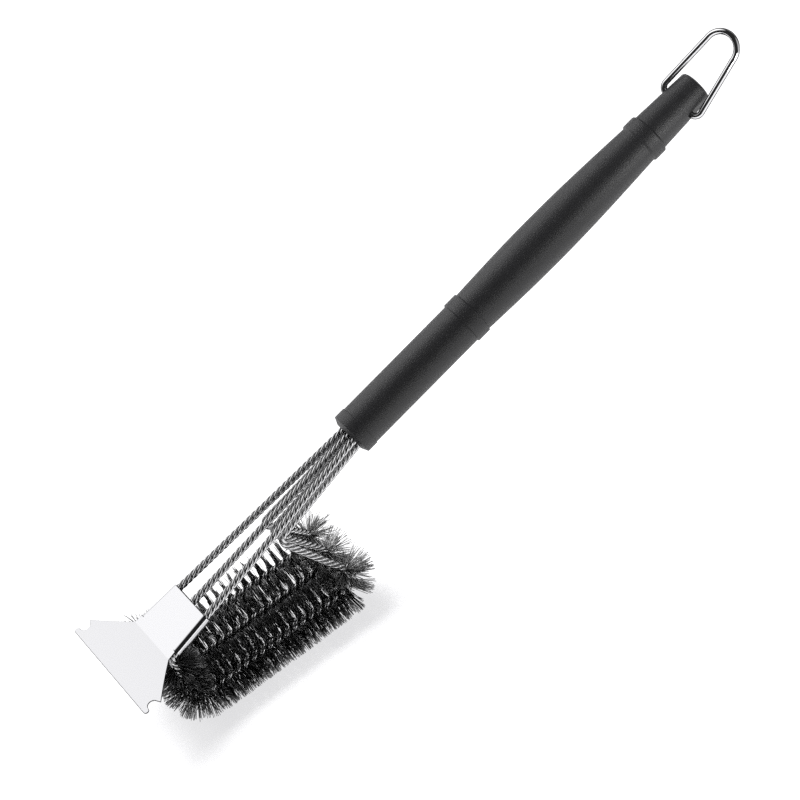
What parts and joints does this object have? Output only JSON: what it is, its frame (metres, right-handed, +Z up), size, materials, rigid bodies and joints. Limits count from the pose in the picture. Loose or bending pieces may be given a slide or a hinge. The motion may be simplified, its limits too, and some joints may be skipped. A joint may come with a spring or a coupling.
{
  "type": "grill cleaning brush",
  "caption": "Long-handled grill cleaning brush with twisted-wire brushes side by side, a flared steel scraper blade in front and a swinging hanging loop at the end of the handle.",
  "frame": {"origin": "on the resting plane under the middle of the brush head, in the flat underside of the bristle tips that the brush stands on", "axes": "+X from the scraper towards the handle, +Y to the tool's left, +Z up; the brush cores and the scraper blade are level and the handle rises towards +X"},
  "size_m": [0.4401, 0.0792, 0.1658],
  "materials": {
    "handle_plastic": "fine-grained matte black moulded plastic",
    "band_steel": "plain crimped steel",
    "scraper_steel": "bright polished stainless sheet",
    "loop_chrome": "polished chrome",
    "bristle_steel": "fine stainless bristle wire",
    "wire_steel": "bright drawn steel wire"
  },
  "bodies": {
    "brush": {"handle_grip": "handle_plastic", "rope_anchor_band": "band_steel", "scraper_plate": "scraper_steel", "left_bristles": "bristle_steel", "centre_bristles": "bristle_steel", "right_bristles": "bristle_steel", "left_brush_wire_1": "wire_steel", "left_brush_wire_2": "wire_steel", "left_brush_wire_3": "wire_steel", "left_brush_wire_4": "wire_steel", "centre_brush_wire_1": "wire_steel", "centre_brush_wire_2": "wire_steel", "centre_brush_wire_3": "wire_steel", "centre_brush_wire_4": "wire_steel", "right_brush_wire_1": "wire_steel", "right_brush_wire_2": "wire_steel", "right_brush_wire_3": "wire_steel", "right_brush_wire_4": "wire_steel"},
    "loop": {"hanging_loop": "loop_chrome"}
  },
  "joints": [
    {"name": "loop_swing", "type": "hinge", "parent": "brush", "child": "loop", "pos_m": [0.32156, 0, 0.13701], "axis": [-0.1044, 0.891, 0.4418], "range_deg": [-130, 180]}
  ]
}
